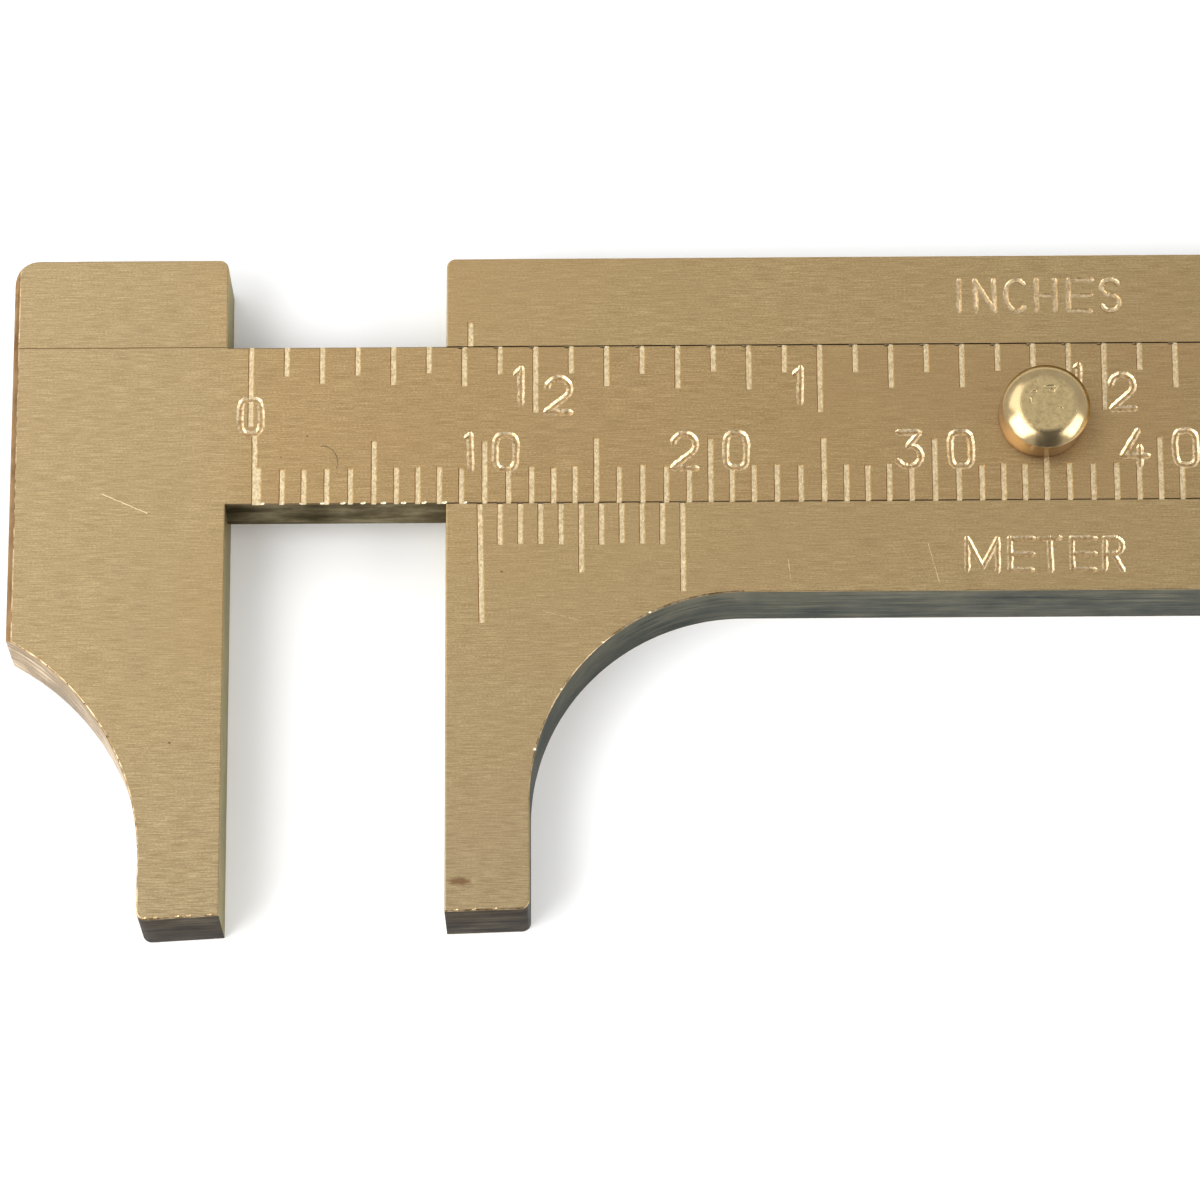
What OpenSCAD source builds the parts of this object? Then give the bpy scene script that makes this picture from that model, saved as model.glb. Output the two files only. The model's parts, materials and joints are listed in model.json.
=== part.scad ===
// Brass sliding gauge: a channelled body with a fixed jaw, and a dovetail slide that
// carries the sliding jaw and the graduations. The gauge lies on its back. X runs along
// the slide, Y across it and Z up out of the graduated face. X = 0 is the zero line of
// the vernier, Y = 0 the centre line of the slide and Z = 0 the back.

/* [Measuring range] */
// Length of the body from the fixed measuring face to its tail
body_len = 95; // [70:1:165]
// Opening at which the gauge is shown
opening = 9.8; // [0:0.1:50]
// Length of slide that the body still holds at the largest opening
held_len = 15; // [14:0.5:20]
// Distance from each measuring face to the zero line beside it
zero_inset = 1.5; // [0.5:0.1:3]

/* [Body] */
// Thickness of the body and of both jaws
body_t = 4; // [3.6:0.1:8]
// Width of each rail beside the slide
rail_w = 4.2; // [3.5:0.1:8]
// Rounding of the small outer corners
corner_r = 0.4; // [0.1:0.1:1]

/* [Jaws] */
// Depth of the fixed jaw below the lower rail
jaw_drop = 14.5; // [13:0.1:30]
// Width of the fixed jaw at its tip
fixed_tip_w = 3.7; // [2.5:0.1:8]
// Radius of the curve from the lower rail into the fixed jaw
fixed_curve_r = 9.5; // [3:0.5:12]
// Width of the sliding jaw beside the slide
sliding_jaw_w = 9.6; // [8.2:0.1:16]
// Width of the sliding jaw at its tip
sliding_tip_w = 3.6; // [2.5:0.05:7]
// Length by which the sliding jaw reaches past the fixed one
sliding_jaw_extra = 0.3; // [0:0.1:1]
// Radius of the curve on the outer side of the sliding jaw
sliding_curve_r = 11.5; // [4:0.5:14]
// Straight length of the sliding jaw's tip below its curve
sliding_tip_straight = 2.7; // [1:0.1:8]
// Rounding of the sliding jaw's outer top corner
shoulder_r = 1.1; // [0.5:0.1:2]
// Bevel along the outer side of the sliding jaw
outer_bevel = 0.25; // [0.1:0.05:0.8]

/* [Slide] */
// Width of the slide at the graduated face
slide_w = 7.4; // [6.6:0.1:12]
// Thickness of the slide
slide_t = 1.8; // [1.4:0.1:2.2]
// Lean of the dovetail flanks away from upright, in degrees
flank_angle = 10; // [5:1:20]
// Running clearance between the slide and the body on each face
running_gap = 0.06; // [0.02:0.01:0.1]
// Solder gap above the slide in the sliding jaw
solder_gap = 0.08; // [0.02:0.01:0.15]

/* [Thumb knob] */
// Diameter of the knob's head
knob_d = 3.9; // [3:0.1:6]
// Height of the knob above the slide
knob_h = 1.6; // [1.2:0.1:4]
// Rounding of the knob's upper edge
knob_edge_r = 0.7; // [0.2:0.05:1]
// Place of the knob on the millimetre scale
knob_at = 35; // [10:1:60]
// Distance of the knob above the slide's centre line
knob_offset = 0.25; // [0:0.05:0.5]
// Diameter of the knob's riveted shank
shank_d = 1.8; // [1.2:0.1:2.2]

/* [Stop pin] */
// Diameter of the pin that stops the slide at its largest opening
pin_d = 1.4; // [1:0.1:1.6]
// Distance of the pin from the fixed measuring face
pin_inset = 3.4; // [2:0.1:4]
// Distance of the pin and of its slot below the slide's centre line
pin_offset = 2.4; // [2.4:0.1:2.6]
// Depth of the stop slot in the back of the slide
slot_depth = 0.7; // [0.4:0.1:0.9]
// Clearance of the pin in its slot
pin_gap = 0.1; // [0.05:0.05:0.2]

/* [Friction spring] */
// Span of the bowed leaf spring where it rests on its pocket
spring_span = 7.5; // [5:0.1:8]
// Width of the leaf spring
spring_w = 2.6; // [1.5:0.1:3]
// Thickness of the leaf spring
spring_t = 0.2; // [0.1:0.05:0.3]
// Depth of the spring's pocket below the groove
pocket_depth = 0.7; // [0.5:0.05:0.9]
// Clearance round the spring in its pocket and under the slide
spring_gap = 0.03; // [0.01:0.01:0.1]
// Distance of the spring above the slide's centre line
spring_offset = 0.8; // [0.7:0.1:1]

/* [Graduations] */
// Width of an engraved line
mark_w = 0.24; // [0.1:0.02:0.3]
// Depth of an engraved line
mark_depth = 0.1; // [0.05:0.01:0.15]
// Length of the millimetre lines
mm_mark = 1.6; // [0.8:0.1:2]
// Length of every fifth millimetre line
five_mm_mark = 2.8; // [2:0.1:3]
// Length of the sixteenth inch lines
sixteenth_mark = 1.3; // [0.8:0.1:1.5]
// Length of the eighth inch lines
eighth_mark = 1.8; // [1.6:0.1:2.2]
// Length of the half inch lines
half_inch_mark = 3.1; // [2.4:0.1:3.2]
// Distance of the inch zero line to the left of the millimetre one
inch_shift = 0.42; // [0:0.02:1]
// Length of the vernier lines
vernier_mark = 1.7; // [1:0.1:2]
// Length of the vernier's middle line
vernier_middle_mark = 3; // [2:0.1:3.2]
// Length of the vernier's last line
vernier_last_mark = 3.9; // [2:0.1:4]
// Length of the vernier's zero line
vernier_zero_mark = 5.3; // [2:0.1:6]
// Length of the inch index line
index_mark = 1; // [0.5:0.1:2]

/* [Hidden] */
$fn = 64;

// Amount by which a cutting shape reaches past the face that it cuts
over = 0.5;
mm_per_inch = 25.4;
sixteenths_per_inch = 16;
sixteenth = mm_per_inch / sixteenths_per_inch;
vernier_lines = 10;
vernier_pitch = (vernier_lines - 1) / vernier_lines;

// Largest opening between the measuring faces, and length of the millimetre scale
travel = body_len - held_len;
sixteenth_count = floor((travel + inch_shift) / sixteenth);
body_h = slide_w + 2 * rail_w;
face_x = -zero_inset;
tail_x = face_x + body_len;
fixed_tip_y = -body_h / 2 - jaw_drop;
sliding_tip_y = fixed_tip_y - sliding_jaw_extra;
jaw_outer_x = face_x - sliding_jaw_w;

slide_back_z = body_t - slide_t;
groove_z = slide_back_z - running_gap;

// Riveted ends are countersunk: their flare in radius equals their depth
rivet_flare = 0.4;
pin_x = face_x + pin_inset;
pin_top_z = slide_back_z + slot_depth - pin_gap;
slot_w = pin_d + 2 * pin_gap;
slot_start_x = pin_x - slot_w / 2 - pin_gap;
slot_end_x = pin_x + travel + pin_d / 2 + pin_gap;

// The leaf spring is an arc whose ends stand on the floor of its pocket
pocket_z = groove_z - pocket_depth;
spring_rise = slide_back_z - pocket_z - spring_gap - spring_t;
spring_inner_r = (pow(spring_span / 2, 2) + pow(spring_rise, 2)) / (2 * spring_rise);
spring_outer_r = spring_inner_r + spring_t;
spring_axis_z = pocket_z + spring_rise - spring_inner_r;
spring_reach = 2 * sqrt(pow(spring_outer_r, 2) - pow(spring_inner_r - spring_rise, 2));
pocket_wall = 0.4;
pocket_x = pin_x + pin_d / 2 + rivet_flare + pocket_wall;
pocket_len = spring_reach + 2 * spring_gap;
spring_x = pocket_x + pocket_len / 2;
spring_facets = 360;

// Half the width of the slide at height z
function slide_half(z) = slide_w / 2 + (body_t - z) * tan(flank_angle);

// Moves what the slide carries from the closed gauge to the opening that is shown
module on_slide() {
    translate([-opening, 0, 0]) children();
}

// Prism along X with dovetail flanks, widened by a gap on its lower and upper flank
module dovetail(x0, x1, z0, z1, lower_gap, upper_gap) {
    translate([x0, 0, 0]) rotate([90, 0, 90]) linear_extrude(x1 - x0) polygon([
        [-slide_half(z0) - lower_gap, z0],
        [slide_half(z0) + upper_gap, z0],
        [slide_half(z1) + upper_gap, z1],
        [-slide_half(z1) - lower_gap, z1]
    ]);
}

// What is cut away to round a corner at (x, y) that points towards (sx, sy)
module corner_cut(x, y, sx, sy, r) {
    side = r + over;
    translate([x - sx * r, y - sy * r]) difference() {
        translate([sx > 0 ? 0 : -side, sy > 0 ? 0 : -side]) square(side);
        circle(r);
    }
}

// Engraved V line across the front face at x, from y0 up to y1
module mark(x, y0, y1) {
    half_top = mark_w / 2 * (mark_depth + over) / mark_depth;
    translate([x, y0, body_t]) rotate([-90, 0, 0]) linear_extrude(y1 - y0) polygon([
        [-half_top, -over], [half_top, -over], [0, mark_depth]
    ]);
}

// Line that starts at the slide's lower edge and runs up, or at its upper edge and runs down
module lower_mark(x, length) {
    mark(x, -slide_w / 2 - over, -slide_w / 2 + length);
}

module upper_mark(x, length) {
    mark(x, slide_w / 2 - length, slide_w / 2 + over);
}

module millimetre_scale() {
    for (i = [1:floor(travel)])
        lower_mark(i, i % 5 == 0 ? five_mm_mark : mm_mark);
}

module inch_scale() {
    for (i = [1:sixteenth_count])
        upper_mark(
            i * sixteenth - inch_shift,
            i % 8 == 0 ? half_inch_mark : i % 2 == 0 ? eighth_mark : sixteenth_mark
        );
}

// The two zero lines share the width of the slide and meet at its centre line
module zero_lines() {
    lower_mark(0, slide_w / 2);
    upper_mark(-inch_shift, slide_w / 2);
}

module vernier() {
    edge = -slide_w / 2 - running_gap;
    for (i = [0:vernier_lines])
        mark(
            i * vernier_pitch,
            edge - (i == 0 ? vernier_zero_mark
                : i == vernier_lines ? vernier_last_mark
                : i == vernier_lines / 2 ? vernier_middle_mark
                : vernier_mark),
            edge + running_gap
        );
}

module inch_index() {
    edge = slide_w / 2 + running_gap;
    mark(-inch_shift, edge - running_gap, edge + index_mark);
}

// Round shank with a countersunk end: the end lies at z0 and the shank runs up to z1
module rivet(d, z0, z1) {
    translate([0, 0, z0]) cylinder(r1 = d / 2 + rivet_flare, r2 = d / 2, h = rivet_flare);
    translate([0, 0, z0]) cylinder(d = d, h = z1 - z0);
}

module body_plan() {
    tip_x = face_x + fixed_tip_w;
    difference() {
        union() {
            translate([face_x, -body_h / 2]) square([body_len, body_h]);
            translate([face_x, fixed_tip_y])
                square([fixed_tip_w + fixed_curve_r, jaw_drop + over]);
        }
        translate([tip_x + fixed_curve_r, -body_h / 2 - fixed_curve_r]) circle(fixed_curve_r);
        translate([tip_x, fixed_tip_y - over])
            square([fixed_curve_r + over, jaw_drop - fixed_curve_r + over]);
        corner_cut(face_x, body_h / 2, -1, 1, corner_r);
        corner_cut(tail_x, body_h / 2, 1, 1, corner_r);
        corner_cut(tail_x, -body_h / 2, 1, -1, corner_r);
        corner_cut(tip_x, fixed_tip_y, 1, -1, corner_r);
    }
}

module body() {
    color("darkgoldenrod") difference() {
        linear_extrude(body_t) body_plan();
        dovetail(face_x - over, tail_x + over, groove_z, body_t + over, running_gap, running_gap);
        translate([pocket_x, spring_offset - spring_w / 2 - spring_gap, pocket_z])
            cube([pocket_len, spring_w + 2 * spring_gap, pocket_depth + over]);
        translate([pin_x, -pin_offset, 0]) rivet(pin_d, 0, slide_back_z);
        vernier();
        inch_index();
    }
}

// Bowed leaf that presses the slide's flanks against the groove, so that it stays where it is put
module friction_spring() {
    color("peru") translate([spring_x, spring_offset + spring_w / 2, 0])
        rotate([90, 0, 0]) linear_extrude(spring_w) intersection() {
            translate([0, spring_axis_z]) difference() {
                circle(spring_outer_r, $fn = spring_facets);
                circle(spring_inner_r, $fn = spring_facets);
            }
            translate([-spring_reach / 2, pocket_z])
                square([spring_reach, spring_rise + spring_t + over]);
        }
}

// Riveted into the floor of the groove, with its nose in the slot behind the slide
module stop_pin() {
    color("burlywood") translate([pin_x, -pin_offset, 0]) rivet(pin_d, 0, pin_top_z);
}

// Bevel along the outer side, shared by the sliding jaw and the end of the slide in it
module outer_bevel_cut() {
    translate([jaw_outer_x, body_h, body_t]) rotate([90, 0, 0])
        linear_extrude(body_h - sliding_tip_y) polygon([
            [-over, over], [outer_bevel + over, over], [-over, -outer_bevel - over]
        ]);
}

module slide_bar() {
    color("goldenrod") on_slide() difference() {
        dovetail(jaw_outer_x, tail_x, slide_back_z, body_t, 0, 0);
        translate([knob_at, knob_offset, 0]) rivet(shank_d, slide_back_z, body_t + over);
        translate([slot_start_x, -pin_offset - slot_w / 2, slide_back_z - over])
            cube([slot_end_x - slot_start_x, slot_w, slot_depth + over]);
        millimetre_scale();
        inch_scale();
        zero_lines();
        outer_bevel_cut();
    }
}

module sliding_jaw_plan() {
    tip_x = face_x - sliding_tip_w;
    curve_y = sliding_tip_y + sliding_tip_straight;
    difference() {
        translate([jaw_outer_x, sliding_tip_y])
            square([sliding_jaw_w, body_h / 2 - sliding_tip_y]);
        translate([tip_x - sliding_curve_r, curve_y]) circle(sliding_curve_r);
        translate([jaw_outer_x - over, sliding_tip_y - over])
            square([tip_x - jaw_outer_x + over, sliding_tip_straight + over]);
        corner_cut(jaw_outer_x, body_h / 2, -1, 1, shoulder_r);
        corner_cut(face_x, body_h / 2, 1, 1, corner_r);
        corner_cut(tip_x, sliding_tip_y, -1, -1, corner_r);
    }
}

// Cut from the same channelled stock as the body; the slide is soldered into its groove
module sliding_jaw() {
    color("goldenrod") on_slide() difference() {
        linear_extrude(body_t) sliding_jaw_plan();
        dovetail(jaw_outer_x - over, face_x + over, slide_back_z, body_t + over, 0, solder_gap);
        outer_bevel_cut();
    }
}

// Turned push knob whose shank is riveted over in the back of the slide
module thumb_knob() {
    color("gold") on_slide() translate([knob_at, knob_offset, 0]) {
        rivet(shank_d, slide_back_z, body_t + over);
        translate([0, 0, body_t]) rotate_extrude() difference() {
            square([knob_d / 2, knob_h]);
            corner_cut(knob_d / 2, knob_h, 1, 1, knob_edge_r);
        }
    }
}

body();
friction_spring();
stop_pin();
slide_bar();
sliding_jaw();
thumb_knob();
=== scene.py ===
"""Looks of the brass sliding gauge: brushed plates with engraved scales, a polished knob and the studio."""

import json
import math
import random
from collections import defaultdict, namedtuple

import bmesh
import bpy
from mathutils import Matrix, Vector


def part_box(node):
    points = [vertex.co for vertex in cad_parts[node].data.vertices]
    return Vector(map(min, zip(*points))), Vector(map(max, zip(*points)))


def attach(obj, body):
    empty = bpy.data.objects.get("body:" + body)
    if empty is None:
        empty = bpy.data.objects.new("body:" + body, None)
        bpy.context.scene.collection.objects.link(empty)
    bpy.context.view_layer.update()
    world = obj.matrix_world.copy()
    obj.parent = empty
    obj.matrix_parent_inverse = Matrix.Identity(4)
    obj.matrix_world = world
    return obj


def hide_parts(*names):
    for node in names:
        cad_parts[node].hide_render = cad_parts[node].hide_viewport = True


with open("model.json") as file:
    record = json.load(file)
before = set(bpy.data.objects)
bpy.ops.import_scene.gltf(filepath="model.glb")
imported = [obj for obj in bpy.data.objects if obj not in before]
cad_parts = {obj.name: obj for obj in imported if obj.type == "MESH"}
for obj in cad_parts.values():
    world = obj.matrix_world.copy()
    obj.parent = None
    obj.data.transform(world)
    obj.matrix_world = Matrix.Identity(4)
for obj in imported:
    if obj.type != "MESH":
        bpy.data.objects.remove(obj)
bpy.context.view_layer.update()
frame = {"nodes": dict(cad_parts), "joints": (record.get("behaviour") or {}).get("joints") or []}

# Pieces are drawn in millimetres and brought to metres when they are finished
MM = 0.001


def box_mm(node):
    """Lowest and highest corner of a CAD node, in millimetres."""
    low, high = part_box(node)
    return Vector(low) / MM, Vector(high) / MM


BODY_LO, BODY_HI = box_mm("body")
SLIDE_LO, SLIDE_HI = box_mm("slide_bar")
JAW_LO, JAW_HI = box_mm("sliding_jaw")
KNOB_LO, KNOB_HI = box_mm("thumb_knob")
PIN_LO, PIN_HI = box_mm("stop_pin")
SPRING_LO, SPRING_HI = box_mm("friction_spring")

# Sizes that the node boxes don't give. The running gap lies under the slide, the flank gap is the hair line
# that shows beside it, and the worn bevel lies between the sliding jaw's outer bevel and its face.
SLIDE_W = 7.4
RUNNING_GAP = 0.06
FLANK_GAP = 0.02
SLIDE_EDGE = 0.045
FIXED_TIP_W = 3.7
FIXED_CURVE_R = 9.5
SLIDING_TIP_W = 3.6
SLIDING_CURVE_R = 11.5
SLIDING_TIP_STRAIGHT = 2.7
CORNER_R = 0.4
SHOULDER_R = 1.1
OUTER_BEVEL = 0.25
OUTER_BEVEL_SLOPE = 45
WORN_BEVEL = 0.03
WORN_BEVEL_SLOPE = 22
JOINT_ASIDE = 0.03
EDGE_BREAK = 0.06
EDGE_STEPS = 3
FIXED_TIP_SLOPE = 0.1
SLIDING_TIP_SLOPE = 0.18
KNOB_FLAT_R = 1.25
KNOB_FLAT_RING = 0.15
KNOB_SLOPES = (15, 52)
KNOB_EDGE_R = 0.06
KNOB_SHIFT = Vector((-0.17, -0.03))
KNOB_LEAN = Vector((0.13, 0.06))
SHANK_R = 0.9
PIN_R = 0.7
RIVET_FLARE = 0.4
HOLE_STEPS = 48
SLOT_DEPTH = 0.7
PIN_GAP = 0.1
SPRING_GAP = 0.03

# Places worked out from the boxes
FRONT_Z = BODY_HI.z
HALF_H = BODY_HI.y
FACE_X = BODY_LO.x
OPENING = FACE_X - JAW_HI.x
TRAVEL = frame["joints"][0]["range_m"][1] / MM + OPENING
FLANK_LEAN = (SLIDE_HI.y - SLIDE_W / 2) / (SLIDE_HI.z - SLIDE_LO.z)
GROOVE_Z = SLIDE_LO.z - RUNNING_GAP
KNOB_CENTRE = (KNOB_LO + KNOB_HI) / 2
PIN_CENTRE = (PIN_LO + PIN_HI) / 2
# The slide's true zero, and the lower and upper edge of its front face
ZERO_X = -OPENING
LOW_EDGE, HIGH_EDGE = -SLIDE_W / 2, SLIDE_W / 2
# Amounts by which a cutting shape, and the hole of a rivet, reach past the face that they cut
OVER = 0.5
SKIN = 0.001
# Upward share of a normal above which a face is level, and below which it is upright
LEVEL = 0.9
UPRIGHT = 0.3
# Angle in degrees from which an edge is shaded as sharp
CREASE = 28

# Graduations: pitches, lengths of the lines, and how far they run out over the slide's edge
MM_PER_INCH = 25.4
SIXTEENTH = MM_PER_INCH / 16
INCH_SHIFT = 0.42
RUN_OUT = 0.1
MM_LINE = 1.7
FIFTH_LINE = 2.98
HALF_INCH_LINE = 3.2
SIXTEENTH_LINE = 1.31
INCH_ZERO_LOW = -0.05
# The eighths of an inch grow from line to line, up to a longest one
EIGHTH_LINE = 1.62
EIGHTH_GROWTH = 0.035
EIGHTH_LONGEST = 2.1
VERNIER_LINES = 10
VERNIER_PITCH = 0.9
VERNIER_LINE = 1.92
VERNIER_LONG_LINES = {0: 5.57, VERNIER_LINES // 2: 3.27, VERNIER_LINES: 4.12}
VERNIER_LEAN = 0.1
INDEX_LINE = 1.15
# Unevenness of the lines' lengths, and the periodic error of the millimetre lines
LINE_UNEVEN = 0.06
CREEP_MEAN = 0.04
CREEP_SWING = 0.06
CREEP_START = 3.85
CREEP_PERIOD = 6.6

# Figures: their height, and where their middles lie, X counted from their line
FIGURE_H = 1.93
ZERO_FIGURE_Y = 0.42
TENS_Y = -1.31
TENS_ASIDE = (-1.08, 1.2)
FIRST_TEN_ASIDE = (-0.7, 0.95)
INCH_FIGURE = (-0.95, 1.76)
HALF_FIGURES = ((-0.72, 1.82), (1.04, 1.36))
# How much further aside the figures of some halves stand
HALF_ASIDE = {3: (-0.5, -0.24)}

# Layer of the figures' first strokes; the graduations lie in layer 0
FIGURE_LAYER = 1

# Material slots that every piece and cutter shares while it is made
FACE, BAR, SIDE, GROUND, TIP, FLANK, CURVE, EDGE, BEVEL = range(9)
LINE, FIGURE, FLOOR, WORN, NICK, GROOVE, POLISH, WALL = range(9, 17)

# Ways of cutting into a front face: width, depth, share of the width that is floor, material slots of
# the right flank, the left flank and the floor, sideways wander of the cutter, and whether the ends taper off
Stroke = namedtuple("Stroke", "width depth floor_share right left floor wander tapered")
# The dark brown left flank of the ticks is painted shadow
TICK = Stroke(0.28, 0.06, 0.7, LINE, BEVEL, LINE, 0.005, False)
DIGIT = Stroke(0.32, 0.07, 0.35, FIGURE, FIGURE, FLOOR, 0.012, True)
# The darker right flank of the thin letters is painted shade
THIN_LETTER = Stroke(0.24, 0.035, 0.5, FLOOR, WORN, WORN, 0.015, True)
# The bright right flank and duller left flank of the deep letters are painted light and shade
DEEP_LETTER = Stroke(0.28, 0.05, 0.4, FIGURE, WORN, FLOOR, 0.014, True)
SCRATCH = Stroke(0.035, 0.005, 0.3, LINE, LINE, LINE, 0.01, True)
FAINT_SCRATCH = Stroke(0.02, 0.004, 0.3, WORN, WORN, WORN, 0.01, True)
HAIRLINE = Stroke(0.05, 0.012, 0.4, GROOVE, GROOVE, GROOVE, 0.004, True)
JOINT = Stroke(0.05, 0.02, 0.5, BEVEL, BEVEL, GROOVE, 0.004, False)

# Names of the units on the body: letters, gap before each, left end, middle, height and stroke
UNIT_WORDS = [
    ("INCHES", (0, 0.5, 0.29, 0.31, 0.37, 0.22), 21.36, 5.96, 1.72, THIN_LETTER),
    ("METER", (0, 0.27, 0.07, 0.25, 0.17), 21.43, -6.25, 1.74, DEEP_LETTER),
]
# The slide's zero line was cut twice: start and end along X from the true zero, top, and layer
ZERO_LINES = [(-0.2, -0.23, -0.45, 0), (-0.03, -0.05, LOW_EDGE + 1.72, FIGURE_LAYER + 1)]

# Scratches on the body, and one that runs from the slide on to the sliding jaw
BODY_SCRATCHES = [
    ((13.65, -6.4), (13.75, -7.35)),
    ((19.85, -5.7), (20.3, -7.5)),
    ((2.8, -8.75), (4.3, -9.15)),
]
JAW_SCRATCH = ((-16.84, -3.15), (-14.76, -4.08))
# Hair-shaped mark on the slide: centre, radii, and angles where it starts and ends
HAIR_MARK = ((ZERO_X + 2.8, -1.75), (0.68, 0.78), 95, -20)
# Nicks of the vernier's cutter and notches at the inch lines: half sizes, place beside the line, inset
VERNIER_NICK = (0.13, 0.065, 0.065)
VERNIER_NICK_ASIDE = 0.12
INCH_NOTCH = (0.16, 0.09, 0.09)
INCH_NOTCH_ASIDE = -0.15
NICK_INSET = 0.03
# Nicks along the front edges of the tips: half sizes, and places from each tip's left corner
TIP_NICK = (0.1, 0.04, 0.04)
FIXED_TIP_NICKS = (0.5, 1.3, 2.2)
SLIDING_TIP_NICKS = (0.35, 0.85, 1.8, 2.3, 3.2)
# Nicks along the front edges of the concave curves, as angles from each curve's centre
FIXED_CURVE_NICKS = (166, 148, 131, 116)
SLIDING_CURVE_NICKS = (3, 8, 12, 17, 23, 29, 33, 38, 44, 50)
# Dents in the knob's flat top: place from its middle, and half sizes
KNOB_DENTS = [
    ((0.06, 0.72), (0.3, 0.1, 0.025)),
    ((0.16, 0.52), (0.16, 0.12, 0.015)),
    ((-0.62, 0.5), (0.14, 0.06, 0.015)),
    ((-0.8, 0.1), (0.06, 0.18, 0.012)),
    ((0.55, -0.3), (0.1, 0.06, 0.012)),
]

rng = random.Random(7)


def add(tree, kind, **values):
    """New shader node; each value sets a property or an input of that name."""
    made = tree.nodes.new(kind)
    for name, value in values.items():
        if hasattr(made, name):
            setattr(made, name, value)
        else:
            made.inputs[name.replace("_", " ").title()].default_value = value
    return made


def shader(name, edge_tint=(1.0, 0.85, 0.6), **constants):
    """New material, metallic unless a constant says otherwise, with its node tree and surface shader."""
    material = bpy.data.materials.new(name)
    material.use_nodes = True
    tree = material.node_tree
    surface = tree.nodes["Principled BSDF"]
    surface.inputs["Metallic"].default_value = 1.0
    surface.inputs["Specular Tint"].default_value = (*edge_tint, 1)
    for socket, value in constants.items():
        surface.inputs[socket].default_value = value
    return material, tree, surface


def mapped(tree, scale, shift=(0, 0, 0)):
    """Coordinates of the piece, stretched by a scale and then shifted."""
    place = add(tree, "ShaderNodeTexCoord")
    made = add(tree, "ShaderNodeMapping", Scale=scale, Location=shift)
    tree.links.new(place.outputs["Object"], made.inputs["Vector"])
    return made.outputs["Vector"]


def noise(tree, per_mm, detail=3.0, roughness=0.55):
    """Noise with so many features per millimetre along X, Y and Z of the piece."""
    made = add(tree, "ShaderNodeTexNoise", Scale=1.0, Detail=detail, Roughness=roughness)
    tree.links.new(mapped(tree, [n / MM for n in per_mm]), made.inputs["Vector"])
    return made.outputs["Fac"]


def ramp(tree, value, *stops):
    """Colour ramp through (position, colour) stops; a number stands for a grey."""
    made = add(tree, "ShaderNodeValToRGB")
    elements = made.color_ramp.elements
    while len(elements) < len(stops):
        elements.new(1.0)
    for element, (position, colour) in zip(elements, stops):
        element.position = position
        element.color = (colour,) * 3 + (1,) if isinstance(colour, (int, float)) else (*colour, 1)
    tree.links.new(value, made.inputs["Fac"])
    return made.outputs["Color"]


def calculate(tree, operation, first, second):
    """Math node on two values, each a socket or a number."""
    made = add(tree, "ShaderNodeMath", operation=operation)
    for socket, value in zip(made.inputs, (first, second)):
        if isinstance(value, (int, float)):
            socket.default_value = value
        else:
            tree.links.new(value, socket)
    return made.outputs["Value"]


def blend_values(tree, first, second, share):
    """First and second added in the given share of the second."""
    return calculate(
        tree, "ADD", calculate(tree, "MULTIPLY", first, 1 - share), calculate(tree, "MULTIPLY", second, share)
    )


def mix(tree, factor, first, second, mode="MIX"):
    """Colour mix of two colours, each a socket or a tuple."""
    made = add(tree, "ShaderNodeMix", data_type="RGBA", blend_type=mode)
    ends = [s for s in made.inputs if s.type == "RGBA"]
    for socket, value in zip([made.inputs[0], *ends], (factor, first, second)):
        if isinstance(value, (int, float)):
            socket.default_value = value
        elif isinstance(value, tuple):
            socket.default_value = (*value, 1)
        else:
            tree.links.new(value, socket)
    return next(s for s in made.outputs if s.type == "RGBA")


def bump(tree, surface, height, depth_mm):
    """Bump of so many millimetres on the surface shader."""
    made = add(tree, "ShaderNodeBump", Strength=1.0, Distance=depth_mm * MM)
    tree.links.new(height, made.inputs["Height"])
    tree.links.new(made.outputs["Normal"], surface.inputs["Normal"])


def rise(tree, axis, start, end, top):
    """Value that grows from none to its top between two places along an axis, in millimetres."""
    place = add(tree, "ShaderNodeTexCoord")
    parts = add(tree, "ShaderNodeSeparateXYZ")
    made = add(tree, "ShaderNodeMapRange", From_Min=start * MM, From_Max=end * MM, To_Max=top)
    tree.links.new(place.outputs["Object"], parts.inputs["Vector"])
    tree.links.new(parts.outputs[axis], made.inputs["Value"])
    return made.outputs["Result"]


def spot(tree, centre, radii):
    """Mask of a small stain on the front face, ragged at its rim; centre and radii in millimetres."""
    scale = (1 / radii[0] / MM, 1 / radii[1] / MM, 0)
    shift = (-centre[0] / radii[0], -centre[1] / radii[1], 0)
    reach = add(tree, "ShaderNodeVectorMath", operation="LENGTH")
    tree.links.new(mapped(tree, scale, shift), reach.inputs[0])
    rim = calculate(tree, "MULTIPLY", noise(tree, (4, 9, 9), detail=4), 0.6)
    ragged = calculate(tree, "ADD", reach.outputs["Value"], rim)
    return ramp(tree, ragged, (0.62, 1.0), (0.98, 0.0))


# Where the faces grow paler and bluer: along Y towards the tips, and along X over the sliding jaw
TOWARDS_JAWS_Y = (-6, -22)
TOWARDS_JAWS_X = (-9, -15)
# Height above the face up to which the knob's wall is darkened: painted shade at its foot
FOOT_SHADE_HEIGHT = 0.35
# Stain on the fixed jaw's tip and specks of dirt: centre, radii, colour
STAINS = [
    ((-0.85, -21.05), (0.9, 0.34), (0.19, 0.1, 0.048)),
    ((-13.57, -14.7), (0.13, 0.09), (0.12, 0.08, 0.045)),
    ((0.98, -6.9), (0.12, 0.08), (0.13, 0.09, 0.05)),
    ((-8.85, -1.5), (0.1, 0.08), (0.16, 0.11, 0.06)),
    ((-7.7, -0.5), (0.12, 0.08), (0.16, 0.11, 0.06)),
]


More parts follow.
